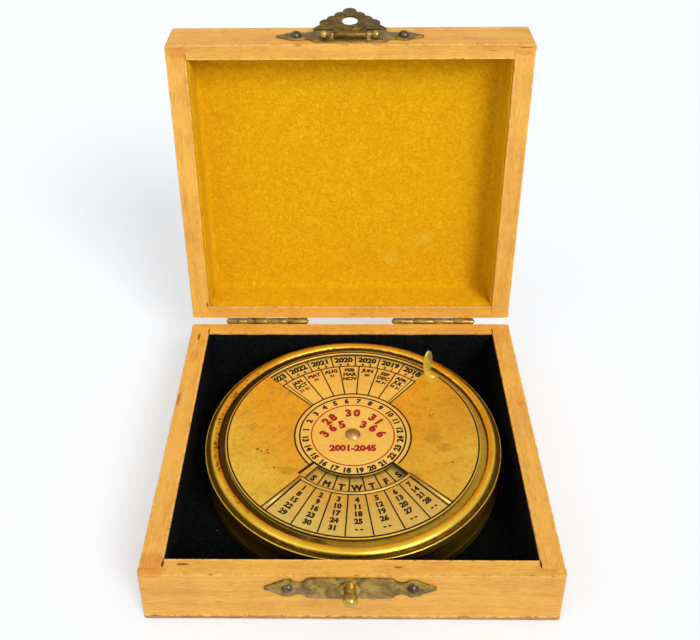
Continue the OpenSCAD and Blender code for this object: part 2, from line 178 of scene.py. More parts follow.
# The paper is partly self-lit where the camera or a mirror sees it, so it stays near white.
FLOOR_HALF, FLOOR_LIT = 2.5, 0.44
FLOOR_WHITE = (0.845, 0.885, 0.93)
floor_mesh = bpy.data.meshes.new("floor")
corners = [(-1, -1, 0), (1, -1, 0), (1, 1, 0), (-1, 1, 0)]
floor_mesh.from_pydata(corners, [], [(0, 1, 2, 3)])
floor_mesh.transform(Matrix.Scale(FLOOR_HALF, 4))
floor = linked("floor", floor_mesh)
paper, ink = material("paper")
seen = ink.add("LightPath", out=0)
mirrored = ink.add("LightPath", out=3)
white = ink.add("Emission", (), {"Color": (1, 1, 1), "Strength": 1.0})
lit = ink.add("BsdfDiffuse", (), {"Color": FLOOR_WHITE})
share = (seen + mirrored).clamp() * FLOOR_LIT
finish_with(ink, ink.add("MixShader", (), {0: share, 1: lit, 2: white}))
floor_mesh.materials.append(paper)

ROOM_LOW, ROOM_HIGH, ROOM_POWER = (0.50, 0.50, 0.51), (0.80, 0.80, 0.80), 0.88
world = bpy.data.worlds.new("room")
bpy.context.scene.world = world
world.use_nodes = True
world.node_tree.nodes.clear()
ink = Ink(world.node_tree)
height = ink.add("SeparateXYZ", (), {0: ink.add("TexCoord", out=0)}, out=2)
walls = ink.add("ValToRGB", {"stops": [(0.0, ROOM_LOW), (0.7, ROOM_HIGH)]}, {0: height})
seen = ink.add("LightPath", out=0)
shown = ink.add("Background", (), {"Color": (1, 1, 1), "Strength": 1.0})
light = ink.add("Background", (), {"Color": walls, "Strength": ROOM_POWER})
room = ink.add("MixShader", (), {0: seen, 1: light, 2: shown})
output = world.node_tree.nodes.new("ShaderNodeOutputWorld")
world.node_tree.links.new(room.out, output.inputs["Surface"])


def lamp(name, azimuth, elevation, power, spread):
    """A distant round lamp, from an azimuth counted from the right towards the back."""
    data = bpy.data.lights.new(name, "SUN")
    data.energy = power
    data.angle = radians(spread)
    a, e = radians(azimuth), radians(elevation)
    towards = Vector((cos(a) * cos(e), sin(a) * cos(e), sin(e)))
    linked(name, data).rotation_euler = towards.to_track_quat("Z", "Y").to_euler()


lamp("key", -58, 36, 2.15, 24)
lamp("fill", -140, 40, 0.3, 40)


# ------------------------------------------------------------------ boards
# Planed pine, varnished to a honey colour. The front and back boards run over the ends of
# the side boards, the edges are eased by sanding, and the thin bottom is stained darker.
def placed(mesh, name, look, body):
    """Makes a mesh a piece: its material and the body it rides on."""
    mesh.materials.clear()
    mesh.materials.append(look)
    piece = linked(name, mesh)
    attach(piece, body)
    return piece


def merged_copy(node, name):
    """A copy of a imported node's mesh with its triangles joined into whole flat faces."""
    work = bmesh.new()
    work.from_mesh(frame["nodes"][node].data)
    bmesh.ops.remove_doubles(work, verts=work.verts, dist=1e-7)
    bmesh.ops.dissolve_limit(work, angle_limit=radians(0.6), verts=work.verts, edges=work.edges)
    mesh = bpy.data.meshes.new(name)
    work.to_mesh(mesh)
    work.free()
    return mesh


def eased(piece, width, shortest):
    """Rounds a piece's sharp edges to a width. Edges under a shortest length stay sharp, so
    that the boards' joints lie flush, and such a piece keeps flat faces."""
    mesh = piece.data
    round_off = piece.modifiers.new("ease", "BEVEL")
    round_off.width = width
    round_off.segments = 3
    round_off.limit_method = "ANGLE"
    round_off.angle_limit = radians(35)
    mesh.shade_smooth()
    if not shortest:
        round_off.harden_normals = True
        return
    mesh.set_sharp_from_angle(angle=round_off.angle_limit)
    ends = np.array([list(edge.vertices) for edge in mesh.edges])
    at = np.array([vertex.co for vertex in mesh.vertices])
    sharp = np.array([edge.use_edge_sharp for edge in mesh.edges])
    rounded = sharp & (np.linalg.norm(at[ends[:, 0]] - at[ends[:, 1]], axis=1) > shortest)
    weight = mesh.attributes.new("bevel_weight_edge", "FLOAT", "EDGE")
    weight.data.foreach_set("value", rounded.astype(np.float32))
    round_off.limit_method = "WEIGHT"
    round_off.segments = 4
    mesh.shade_flat()


def dressed(node, name, look, width, body, shortest=0.0):
    """Replaces a node by a copy with eased edges and a material."""
    piece = placed(merged_copy(node, name), name, look, body)
    eased(piece, width, shortest)
    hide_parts(node)


def in_mm(ink, stretch=(1, 1, 1)):
    """Object coordinates in millimetres, each axis multiplied by its stretch."""
    place = ink.add("TexCoord", out=3)
    return ink.add("Mapping", {"vector_type": "POINT"},
                   {"Vector": place, "Scale": tuple(1000 * s for s in stretch)})


def axes(ink, vector):
    """The x, y and z of a vector."""
    apart = ink.add("SeparateXYZ", (), {0: vector})
    return [Ink(ink.tree, socket) for socket in apart.out.node.outputs]


def noise(ink, where, scale, detail=3, rough=0.55, twist=0.0):
    """Cloudy noise about 0.5, with so many waves to a millimetre."""
    return ink.add("TexNoise", (), {"Vector": where, "Scale": scale, "Detail": detail,
                                    "Roughness": rough, "Distortion": twist})


def from_edges(ink, node, along):
    """How far, in millimetres, a place on a board lies from the nearest of its long edges."""
    low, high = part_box(node)
    across = [ink.math("MINIMUM", a - 1000 * p, 1000 * q - a)
              for axis, a, p, q in zip("xyz", axes(ink, in_mm(ink)), low, high) if axis != along]
    return ink.math("MAXIMUM", *across)


def near(ink, place, reach):
    """1 at a place in millimetres and 0 beyond its reach along each axis, with a torn edge."""
    apart = [(a - p) * (1 / r) for a, p, r in zip(axes(ink, in_mm(ink)), place, reach)]
    far = ink.math("SQRT", apart[0] * apart[0] + apart[1] * apart[1] + apart[2] * apart[2])
    torn = far + (noise(ink, in_mm(ink), 0.9, 4, 0.75) - 0.5) * 1.6
    return torn.step(1.0, 0.7)


def pine(name, along, light, dark, seed, node, marks=()):
    """Wood whose fibres run along one axis: soft bands, short fibres, dark pores, long edges
    that are pale, partly rubbed and partly a painted highlight, and dirty by turns, and marks,
    each a place, reach, colour and share."""
    made, ink = material(name)
    squeeze = {"x": (0.06, 1, 1), "y": (1, 0.06, 1), "z": (1, 1, 0.06)}[along]
    shift = ink.add("Mapping", (), {
        "Vector": in_mm(ink, squeeze), "Location": (seed, 2 * seed, 3 * seed)})
    short = in_mm(ink, tuple(0.17 if a == along else 1 for a in "xyz"))
    even = in_mm(ink)
    band = noise(ink, shift, 0.42, 2, 0.5, 0.6)
    fibre = noise(ink, shift, 3.2, 5, 0.7)
    fleck = noise(ink, short, 2.6, 4, 0.75)
    patch = noise(ink, even, 0.09, 3)
    pores = noise(ink, short, 1.6, 3, 0.65).step(0.64, 0.70)
    grain = (band - 0.5) * 1.1 + (fibre - 0.5) * 1.5 + (fleck - 0.5) * 1.9 + (patch - 0.5) * 1.2
    base = ink.colour(light).blend(dark, grain + 0.30)
    worn = base.tint((0.50, 0.30, 0.16), pores * 0.6)
    scuff = noise(ink, even, 0.5, 4, 0.75)
    rim = (from_edges(ink, node, along) + (scuff - 0.5) * 0.5).step(0.55, 0.2)
    # Pale long edges: partly rubbed wear, partly a painted highlight where the rounded edges catch
    # the light.
    worn = worn.blend(SANDED_AND_HIGHLIT, rim * scuff.step(0.60, 0.40) * 0.55)
    worn = worn.tint((0.30, 0.16, 0.08), rim * scuff.step(0.58, 0.66) * 0.8)
    for place, reach, colour, share in marks:
        worn = worn.tint(colour, near(ink, place, reach) * share)
    height = fibre + fleck * 0.5 - pores * 0.4
    bump = ink.add("Bump", (), {"Strength": 0.4, "Distance": 0.2 * MM, "Height": height})
    finish_with(ink, ink.add("BsdfPrincipled", (), {
        "Base Color": worn, "Roughness": 0.42 + fibre * 0.2, "Normal": bump,
        "Specular IOR Level": 0.35, "Coat Weight": 0.12, "Coat Roughness": 0.3}))
    return made


HONEY, AMBER, SANDED_AND_HIGHLIT = (0.80, 0.415, 0.064), (0.57, 0.24, 0.027), (0.98, 0.62, 0.17)
BARK, UMBER = (0.46, 0.21, 0.07), (0.16, 0.055, 0.018)
EDGE = 0.4 * MM
SHORTEST = 20 * MM
# Each board and the axis along which its fibres run, with the lid open.
BOARDS = {
    "tray_front_board": "x", "tray_back_board": "x",
    "tray_left_board": "y", "tray_right_board": "y",
    "lid_front_board": "x", "lid_back_board": "x",
    "lid_left_board": "z", "lid_right_board": "z", "lid_panel": "x",
}


def box_in_mm(node):
    """A node's lowest and highest corners in millimetres."""
    return [[1000 * size for size in corner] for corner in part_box(node)]


# Slits at the tray's inner corners, stains and filler at the corners, cracks and small knots,
# and painted shade over the tray's whole front face.
SLIT, STAIN, KNOT = (0.05, 0.03, 0.02), (0.86, 0.60, 0.36), (0.22, 0.10, 0.05)
FRONT_FACE_SHADE = (0.88, 0.86, 0.75)
(_, front_y, _), (_, inner_y, rim_z) = box_in_mm("tray_front_board")
inner_x = box_in_mm("tray_left_board")[1][0]
lid_low, lid_high = box_in_mm("lid_left_board")
slits = [((side * inner_x, end * (inner_y - 1.0), rim_z), (0.28, 1.5, 3), SLIT, 0.95)
         for side in (-1, 1) for end in (-1, 1)]
MARKS = {
    "tray_front_board": slits + [
        # The tray's whole front face, darkened: painted shade.
        ((0, front_y, 8), (300, 0.5, 300), FRONT_FACE_SHADE, 1.0),
        ((-47, -45, rim_z), (4.2, 2.4, 1.6), STAIN, 0.7),
        ((-39.6, -43.4, rim_z), (1.5, 0.35, 2), KNOT, 0.9),
        ((11, -44.0, rim_z), (1.2, 0.3, 2), KNOT, 0.7),
        ((46, -44.2, rim_z), (3, 1.5, 1.5), STAIN, 0.4)],
    "tray_left_board": slits + [
        ((-47, -42.5, rim_z), (4.5, 3, 3), STAIN, 0.7),
        ((-47.2, 40, rim_z), (0.5, 1.6, 2), KNOT, 0.8),
        ((-47.5, 31, rim_z), (1.6, 3.5, 2), STAIN, 0.5),
        ((-49.2, 12, rim_z), (0.6, 3, 2), KNOT, 0.5)],
    "tray_right_board": slits + [((48.0, 11, rim_z), (1.2, 1.6, 2), STAIN, 0.6)],
    "tray_back_board": slits,
    "lid_front_board": [
        ((-46.5, lid_low[1], lid_high[2] + 0.6), (4.0, 1.5, 0.8), STAIN, 0.6),
        ((47.3, lid_low[1], lid_high[2] + 0.9), (2.2, 1.5, 0.25), KNOT, 0.6)],
    "lid_left_board": [
        ((-46.5, lid_low[1], lid_high[2] - 0.8), (3.4, 1.5, 1.2), STAIN, 0.6),
        ((-45, lid_low[1], lid_low[2] + 3), (0.4, 1.5, 1.6), KNOT, 0.8)],
    "lid_right_board": [((47, lid_low[1], lid_high[2] - 0.5), (3.0, 1.5, 0.8), STAIN, 0.6)],
    "lid_back_board": [((-26.5, lid_low[1], lid_low[2] - 0.3), (0.4, 1, 0.6), KNOT, 0.8)],
}
for number, (node, along) in enumerate(BOARDS.items()):
    wood = pine(f"pine_{node}", along, HONEY, AMBER, 4.3 * number + 1.7, node, MARKS.get(node, ()))
    body = node.split("_")[0].replace("tray", "case")
    dressed(node, node + "_planed", wood, EDGE, body, SHORTEST)
stained = pine("pine_stained", "x", BARK, UMBER, 31.1, "tray_panel")
dressed("tray_panel", "tray_panel_planed", stained, EDGE, "case")


# ------------------------------------------------------------------ felt linings
# Wool felt, cut to size and glued in: deep yellow in the lid and black in the tray. It is
# thick and napped, and its cut edge shows below the rim all round.
def add_piece(name, parts, look, body, smooth=True):
    """One piece from several surfaces, each given as its points in metres and its faces."""
    points, faces, start = [], [], 0
    for some, their in parts:
        points.append(some)
        faces.extend((np.asarray(f) + start).tolist() for f in their)
        start += len(some)
    mesh = bpy.data.meshes.new(name)
    mesh.from_pydata(np.concatenate(points).tolist(), [], faces)
    mesh.validate()
    if smooth:
        mesh.shade_smooth()
    return placed(mesh, name, look, body)


def grid_faces(rows, columns, loop_rows, loop_columns):
    """Quads of a grid of rows and columns, closed on itself where loop says so."""
    r = np.arange(rows if loop_rows else rows - 1)
    c = np.arange(columns if loop_columns else columns - 1)
    r, c = np.meshgrid(r, c, indexing="ij")
    a, b = r * columns + c, r * columns + (c + 1) % columns
    d, e = (r + 1) % rows * columns + c, (r + 1) % rows * columns + (c + 1) % columns
    return np.stack([a, b, e, d], -1).reshape(-1, 4)


NAP = 0.035 * MM


def felt_sheet(x, y, low, high, pitch, rng, turn_up):
    """A flat sheet: two grids over x and y, napped on the upper one and joined at the rim. Its
    upper face turns up, by a radius, into the strip round the walls."""
    nx, ny = int((x[1] - x[0]) / pitch), int((y[1] - y[0]) / pitch)
    u, v = np.meshgrid(np.linspace(*x, nx), np.linspace(*y, ny), indexing="ij")
    nap = rng.normal(0, NAP, u.shape)
    nap += 0.05 * MM * np.sin(u / (7 * MM) + 2 * np.sin(v / (9 * MM)))
    gap = np.minimum(np.minimum(u - x[0], x[1] - u), np.minimum(v - y[0], y[1] - v)) - (high - low)
    bend = np.clip(turn_up - gap, 0, turn_up)
    rise = turn_up - np.sqrt(turn_up ** 2 - bend ** 2)
    upper = np.stack([u, v, high - 0.06 * MM + nap + rise], -1).reshape(-1, 3)
    lower = np.stack([u, v, np.full_like(u, low)], -1).reshape(-1, 3)
    top = grid_faces(nx, ny, False, False)
    under = top[:, ::-1] + nx * ny
    rim = np.concatenate([np.arange(ny), np.arange(1, nx) * ny + ny - 1,
                          (nx - 1) * ny + np.arange(ny - 2, -1, -1), np.arange(nx - 2, 0, -1) * ny])
    after = np.roll(rim, -1)
    sides = np.stack([after, rim, rim + nx * ny, after + nx * ny], -1)
    return np.concatenate([upper, lower]), np.concatenate([top, under, sides])[:, ::-1]


def felt_wall(x, y, low, high, thick, pitch, rng):
    """A strip that runs round a rectangular opening: its section, a slab with a round top
    edge and a napped inner face, is carried along the opening's outline."""
    corner = 0.5 * MM
    outline = []
    for sx, sy in ((1, 1), (-1, 1), (-1, -1), (1, -1)):
        centre = np.array([sx * (x[1] - corner), sy * (y[1] - corner)])
        start = atan2(sy, sx) - pi / 4
        turn = start + np.linspace(0, pi / 2, 5)
        out = np.column_stack([np.cos(turn), np.sin(turn)])
        outline.append(np.column_stack([centre + corner * out, out]))
    corners = np.concatenate(outline)
    rows = []
    for here, then in zip(corners, np.roll(corners, -1, axis=0)):
        steps = max(1, int(np.hypot(*(then - here)[:2]) / pitch))
        share = np.linspace(0, 1, steps, endpoint=False)[:, None]
        rows.append(here + (then - here) * share)
    path = np.concatenate(rows)
    up_steps = int((high - low) / pitch)
    height = np.linspace(low, high, up_steps)
    depth = np.full(up_steps, thick)
    depth[-1], depth[-2] = 0.35 * thick, 0.8 * thick
    section = np.column_stack([np.r_[depth, 0, 0], np.r_[height, high - 0.1 * MM, low]])
    across = np.broadcast_to(section[:, 0], (len(path), len(section))).copy()
    tall = np.broadcast_to(section[:, 1], (len(path), len(section))).copy()
    across[:, 1:up_steps] += rng.normal(0, NAP, (len(path), up_steps - 1))
    wander = np.convolve(rng.normal(0, 1, len(path) + 8), np.ones(9) / 9, "valid")
    tall[:, up_steps - 2:up_steps + 1] += 0.18 * MM * wander[:, None]
    points = np.stack([path[:, :1] - path[:, 2:3] * across,
                       path[:, 1:2] - path[:, 3:4] * across, tall], -1)
    return points.reshape(-1, 3), grid_faces(len(path), len(section), True, True)


def felt(name, base, bright, deep, sheen, rubbed=()):
    """Matted fibres: bright specks and deep hollows at the size of a fibre, soft clouds, and
    pale places where the nap is rubbed, each given by its place and reach."""
    made, ink = material(name)
    place = in_mm(ink)
    speck = noise(ink, place, 1.0, 4, 0.8, 1.5)
    hair = noise(ink, place, 2.1, 3, 0.7, 3.0)
    cloud = noise(ink, place, 0.30, 4, 0.7)
    colour = ink.colour(base).blend(deep, (0.53 - speck).step(0.0, 0.09) * 0.65)
    colour = colour.blend(deep, cloud.step(0.56, 0.36) * 0.35)
    colour = colour.blend(bright, (hair * 0.5 + speck * 0.5).step(0.51, 0.57) * 0.9)
    lint = noise(ink, place, 0.75, 2, 0.5).step(0.765, 0.785)
    colour = colour.blend(bright, lint).blend(PALE, lint * 0.25)
    for spot, reach in rubbed:
        colour = colour.blend(RUBBED, near(ink, spot, reach) * 0.2)
    height = speck + hair * 0.5
    bump = ink.add("Bump", (), {"Strength": 1.0, "Distance": 0.6 * MM, "Height": height})
    finish_with(ink, ink.add("BsdfPrincipled", (), {
        "Base Color": colour, "Roughness": 0.95, "Normal": bump, "Specular IOR Level": 0.1,
        "Sheen Weight": sheen, "Sheen Roughness": 0.5, "Sheen Tint": bright}))
    return made


GOLD, GOLD_BRIGHT, GOLD_DEEP = (1.0, 0.475, 0.0015), (1.0, 0.66, 0.012), (0.80, 0.325, 0.0)
BLACK, BLACK_BRIGHT = (0.0015, 0.002, 0.002), (0.014, 0.017, 0.018)
BLACK_DEEP = (0.0005, 0.0005, 0.0005)
PALE, RUBBED = (0.45, 0.42, 0.33), (1.0, 0.72, 0.10)
felt_y = box_in_mm("lid_ceiling_felt")[0][1]
RUBBED_SPOTS = [((22.2, felt_y, 40.6), (3.2, 3, 2.6)), ((13.0, felt_y, 33.4), (2.6, 3, 3.4))]
gold_felt = felt("gold_felt", GOLD, GOLD_BRIGHT, GOLD_DEEP, 0.5, RUBBED_SPOTS)
black_felt = felt("black_felt", BLACK, BLACK_BRIGHT, BLACK_DEEP, 0.0)

# The lid's lining is laid out with the lid shut, where it is square to the axes, and turned open.
joints = {joint["name"]: joint for joint in frame["joints"]}
lid_joint = joints["lid_hinge"]
to_pin = Matrix.Translation(lid_joint["pos_m"])
shut_turn = Matrix.Rotation(radians(lid_joint["range_deg"][1]), 4, "X")
shut = to_pin @ shut_turn @ to_pin.inverted()
opened = shut.inverted()


def moved(points, matrix):
    """Points carried by a matrix: each is turned, then shifted."""
    m = np.array(matrix)
    return points @ m[:3, :3].T + m[:3, 3]


def shut_box(node):
    """A lid node's lowest and highest corners when the lid is shut."""
    mesh = frame["nodes"][node].data
    points = np.empty(3 * len(mesh.vertices))
    mesh.vertices.foreach_get("co", points)
    points = moved(points.reshape(-1, 3), shut)
    return points.min(0), points.max(0)


rng = np.random.default_rng(7)
PITCH_FELT, TURN_UP = 0.55 * MM, 1.7 * MM


def lining(sheet_box, wall_box, rng, roof):
    """The sheet on the floor or ceiling and the strip round the walls, in shut coordinates.
    A roof's two are made as a floor's, then turned over by a mirror in z."""
    (x0, y0, z0), (x1, y1, z1) = sheet_box
    (a0, b0, c0), (a1, b1, c1) = wall_box
    thick = z1 - z0
    base, low, high = (0, -c1, -c0) if roof else (z0, c0, c1)
    flat = felt_sheet((x0, x1), (y0, y1), base, base + thick, PITCH_FELT, rng, TURN_UP)
    strip = felt_wall((a0, a1), (b0, b1), low, high, thick, PITCH_FELT, rng)
    if roof:
        flat[0][:, 2] = z1 - flat[0][:, 2]
        strip[0][:, 2] *= -1
        flat, strip = [(points, faces[:, ::-1]) for points, faces in (flat, strip)]
    return [flat, strip]


for name, look, slot, body, nodes, corners_of, turned in (
    ("tray_lining", black_felt, "black_felt", "case", ("tray_floor_felt", "tray_wall_felt"),
     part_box, Matrix()),
    ("lid_lining", gold_felt, "gold_felt", "lid", ("lid_ceiling_felt", "lid_wall_felt"),
     shut_box, opened),
):
    sheet_box, wall_box = map(corners_of, nodes)
    parts = lining(sheet_box, wall_box, rng, body == "lid")
    parts = [(moved(points, turned), faces) for points, faces in parts]
    piece = add_piece(name, parts, look, body)
    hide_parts(*nodes)
    width, length, _ = np.subtract(*reversed(sheet_box))
    rise = wall_box[1][2] - wall_box[0][2]
    width + 2 * rise
    length + 2 * rise
    width * length + 2 * rise * (width + length)


def frayed(wall_box, count, reach, rng):
    """Loose fibres along the upper edge of the strip round the walls: thin closed spikes
    that lean over the wood or the opening."""
    (x0, y0, _), (x1, y1, top) = wall_box
    along = rng.uniform(0, 2 * (x1 - x0 + y1 - y0), count)
    width, depth = x1 - x0, y1 - y0
    side = np.digitize(along, [width, width + depth, 2 * width + depth])
    run = along - np.array([0, width, width + depth, 2 * width + depth])[side]
    starts = np.array([[x0, y0], [x1, y0], [x1, y1], [x0, y1]])[side]
    ahead = np.array([[1, 0], [0, 1], [-1, 0], [0, -1]])[side]
    inward = np.array([[0, 1], [-1, 0], [0, -1], [1, 0]])[side]
    root = starts + ahead * run[:, None] + inward * rng.uniform(0.2, 1.0, (count, 1)) * MM
    lean = ahead * rng.normal(0, 0.6, (count, 1)) - inward * rng.normal(0.2, 0.5, (count, 1))
    length = reach * rng.uniform(0.4, 1.0, (count, 1))
    thick = 0.045 * MM
    foot = np.column_stack([root, np.full(count, top - 0.15 * MM)])
    tip = foot + np.column_stack([lean * length, (0.15 * MM + 0.7 * length)])
    turn = 2 * pi / 3 * np.arange(3)
    ring = thick * np.column_stack([np.cos(turn), np.sin(turn), 0 * turn])
    points = np.concatenate([foot[:, None] + ring, tip[:, None]], 1).reshape(-1, 3)
    spike = np.array([[2, 1, 0], [0, 1, 3], [1, 2, 3], [2, 0, 3]])
    return points, (4 * np.arange(count)[:, None, None] + spike).reshape(-1, 3)


FIBRES, FIBRE = 900, 0.75 * MM
lid_walls, tray_walls = shut_box("lid_wall_felt"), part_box("tray_wall_felt")
points, faces = frayed(lid_walls, FIBRES, FIBRE, rng)
points[:, 2] = lid_walls[0][2] + lid_walls[1][2] - points[:, 2]
add_piece("lid_fray", [(moved(points, opened), faces[:, ::-1])], gold_felt, "lid")
tray_ends = frayed(tray_walls, FIBRES // 2, FIBRE, rng)
add_piece("tray_fray", [tray_ends], black_felt, "case")


# ------------------------------------------------------------------ hinges
# Small butt hinges of rolled brass sheet, gone dull and brown, on pins of wire. Each leaf lies
# on the outside of its back board and is held by three nails.
def old_brass(name, light, dark, rough, wear):
    """Brass under a brown patina: cloudy tone, dark specks and paler rubbed places."""
    made, ink = material(name)
    place = in_mm(ink)
    cloud = noise(ink, place, 0.35, 4, 0.6, 0.8)
    grime = noise(ink, place, 1.3, 5, 0.7)
    speck = noise(ink, place, 2.6, 3, 0.7).step(0.60, 0.70)
    tone = ink.colour(dark).blend(light, (cloud + grime * 0.5).step(0.62 - wear, 1.02 - wear))
    tone = tone.tint((0.35, 0.25, 0.2), speck * 0.6)
    bump = ink.add("Bump", (), {"Strength": 0.25, "Distance": 0.1 * MM, "Height": grime})
    finish_with(ink, ink.add("BsdfPrincipled", (), {
        "Base Color": tone, "Metallic": 0.85, "Roughness": rough + grime * 0.2 + speck * 0.2,
        "Normal": bump}))
    return made


def repaint(node, look):
    """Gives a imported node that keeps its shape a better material."""
    mesh = frame["nodes"][node].data
    mesh.materials.clear()
    mesh.materials.append(look)


OLIVE, BROWN = (0.46, 0.30, 0.065), (0.15, 0.085, 0.022)
PLATE_EDGE = 0.17 * MM
hinge_brass = old_brass("hinge_brass", OLIVE, BROWN, 0.28, 0.1)
for side in ("left", "right"):
    for half, body in (("tray", "case"), ("lid", "lid")):
        dressed(f"hinge_{half}_leaf_{side}", f"{half}_leaf_{side}", hinge_brass,
                PLATE_EDGE, body)
    repaint(f"hinge_pin_{side}", hinge_brass)
DARK_NAIL, RUBBED_NAIL = (0.07, 0.045, 0.032), (0.27, 0.19, 0.13)
nail_steel = old_brass("nail_steel", RUBBED_NAIL, DARK_NAIL, 0.25, 0.0)
for node in ("hinge_tray_nails", "hinge_lid_nails", "catch_nails"):
    repaint(node, nail_steel)


# ------------------------------------------------------------------ hasp and catch
# Stamped brass plates with an antique finish: the flap is folded back on its pin, whose
# ball ends stand beside the knuckle, and the tray carries the turned post.
DULL, DULL_DEEP = (0.30, 0.19, 0.026), (0.11, 0.065, 0.010)
TOUCHED, TOUCHED_DEEP = (0.56, 0.38, 0.08), (0.22, 0.13, 0.03)
plate_brass = old_brass("plate_brass", OLIVE, BROWN, 0.3, 0.08)
flap_brass = old_brass("flap_brass", DULL, DULL_DEEP, 0.32, 0.02)
post_brass = old_brass("post_brass", TOUCHED, TOUCHED_DEEP, 0.2, 0.12)
dressed("hasp_plate", "lid_plate", plate_brass, PLATE_EDGE, "lid")
dressed("catch_plate", "tray_plate", plate_brass, PLATE_EDGE, "case")
dressed("hasp_flap", "flap", flap_brass, PLATE_EDGE, "hasp")
repaint("hasp_pin", post_brass)
repaint("catch_post", post_brass)
repaint("hasp_screws", nail_steel)


# ------------------------------------------------------------------ turned base
# The calendar's body is turned from solid brass and polished: a waisted wall, a fine lip, a
# cove and a round rim that frames the dial.
DIAL = Vector(joints["disc_spin"]["pos_m"])
disc_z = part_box("rotating_disc")[1][2]
plate_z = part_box("dial_plate")[1][2]
WALL, COVE_IN, COVE_OUT, WAIST_Z = 37.0, 39.45, 40.3, 12.5  # radii and a height, in mm


def from_dial(ink):
    """A place's distance from the dial's axis, its height and its x from the axis, in
    millimetres, and its angle in degrees, anticlockwise from the front."""
    x, y, z = axes(ink, in_mm(ink))
    x, y = x - 1000 * DIAL.x, y - 1000 * DIAL.y
    around = ink.math("ARCTAN2", x, y * -1) * (180 / pi)
    return ink.math("SQRT", x * x + y * y), z, x, around


def turned_brass(name, light, deep, rough):
    """Polished brass with fine rings from the lathe and clouds. Tarnish and painted shade darken
    its cove and inner wall, painted shade its lower wall except on the right, and dirt and
    painted shade make dark patches on the left of the rim's inner part.
    """
    made, ink = material(name)
    place = in_mm(ink)
    radius, z, x, around = from_dial(ink)
    rings = noise(ink, ink.add("CombineXYZ", (), {0: radius, 1: z}), 7.0, 2, 0.6)
    cloud = noise(ink, place, 0.12, 3, 0.6)
    stain = noise(ink, place, 0.7, 4, 0.7)
    tone = ink.colour(light).blend(deep, cloud.step(0.38, 0.66) * 0.8)
    tone = tone.tint((0.5, 0.36, 0.25), stain.step(0.60, 0.74) * 0.35)
    torn = radius + (stain - 0.5) * 0.5
    # The cove and the inner wall are darkened by tarnish and painted shade; the lower wall, except
    # on the right, by painted shade.
    cove = torn.step(COVE_IN - 0.25, COVE_IN + 0.1) * torn.step(COVE_OUT + 0.1, COVE_OUT - 0.1)
    below = z.step(WAIST_Z + 0.2, WAIST_Z - 0.2) * x.step(30, 8)
    inner = torn.step(WALL + 0.2, WALL - 0.1)
    tarnish_and_shade = ink.math("MAXIMUM", ink.math("MAXIMUM", cove, inner), below)
    tone = tone.tint((0.10, 0.06, 0.03), tarnish_and_shade * 0.93)
    # Dark patches on the left of the rim's inner part: dirt and painted shade.
    left_blot_and_shade = (stain + cloud * 0.6).step(0.78, 0.92) * x.step(-24, -32) * radius.step(38.6, 37.9)
    tone = tone.tint((0.12, 0.07, 0.03), left_blot_and_shade * 0.9)
    bump = ink.add("Bump", (), {"Strength": 0.12, "Distance": 0.05 * MM, "Height": rings})
    finish_with(ink, ink.add("BsdfPrincipled", (), {
        "Base Color": tone, "Metallic": 1.0, "Roughness": rough + cloud * 0.1 + tarnish_and_shade * 0.25,
        "Normal": bump}))
    return made


TURNED, TURNED_DEEP = (0.96, 0.63, 0.075), (0.84, 0.49, 0.03)
repaint("calendar_base", turned_brass("turned_brass", TURNED, TURNED_DEEP, 0.3))

# A round of black felt is glued under the calendar: rings of points, from near the middle
# out along its foot and back over its top, with a cap on each middle.
PAD_SEGMENTS, PAD_RINGS = 96, 24
pad_low, pad_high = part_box("base_pad")
pad_r = (pad_high[0] - pad_low[0]) / 2
pad_middle = ((pad_low[0] + pad_high[0]) / 2, (pad_low[1] + pad_high[1]) / 2)
turn = np.linspace(0, 2 * pi, PAD_SEGMENTS, endpoint=False)
outward = np.linspace(0.02, 1, PAD_RINGS)
reach = np.r_[outward, outward[::-1]] * pad_r
level_z = np.r_[np.full(PAD_RINGS, pad_low[2]), np.full(PAD_RINGS, pad_high[2])]
points = np.stack(np.broadcast_arrays(
    pad_middle[0] + reach[:, None] * np.cos(turn),
    pad_middle[1] + reach[:, None] * np.sin(turn), level_z[:, None]), -1).reshape(-1, 3)
one_ring = np.arange(PAD_SEGMENTS)
caps = [one_ring, len(points) - PAD_SEGMENTS + one_ring[::-1]]
pad_faces = list(grid_faces(2 * PAD_RINGS, PAD_SEGMENTS, False, True)) + caps
pad = add_piece("pad", [(points, pad_faces)], black_felt, "case", smooth=False)
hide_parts("base_pad")


# ------------------------------------------------------------------ dial plate and disc
# Two brass sheets, brushed and printed. The lower one is fixed in the base and carries the
# years and the weekdays; the upper one turns over it and carries the months and the dates.
# The printed fields end at these angles from the front or the back, in degrees.
DISC_R, RING_R = 35.0, 15.6
DATE_LEFT, DATE_RIGHT = -41.7, 46.0
MONTH_LEFT, MONTH_RIGHT = -46.5, 41.0
DISC_TOP = 1000 * disc_z
# Dark pits, each x, y and radius, and wide brown smudges, each x, y, two radii and share.
PITS = ((-25.3, -5.2, 0.45), (-24.2, -5.9, 0.35), (-22.6, -5.5, 0.4), (-22.4, -6.4, 0.45),
        (-20.3, -11.6, 0.4), (22.4, 7.6, 0.35), (23.3, 8.4, 0.3), (-19.8, 3.4, 0.3),
        (27.1, -9.6, 0.35))
SMUDGES = ((22.6, -1.0, 3.0, 2.2, 0.25), (25.4, -4.4, 2.6, 1.8, 0.3),
           (-27.2, 3.2, 1.8, 1.4, 0.25), (-17.0, -12.5, 3.0, 1.5, 0.25))
SPOTS = [(x, y, r, r, 0.85) for x, y, r in PITS] + list(SMUDGES)


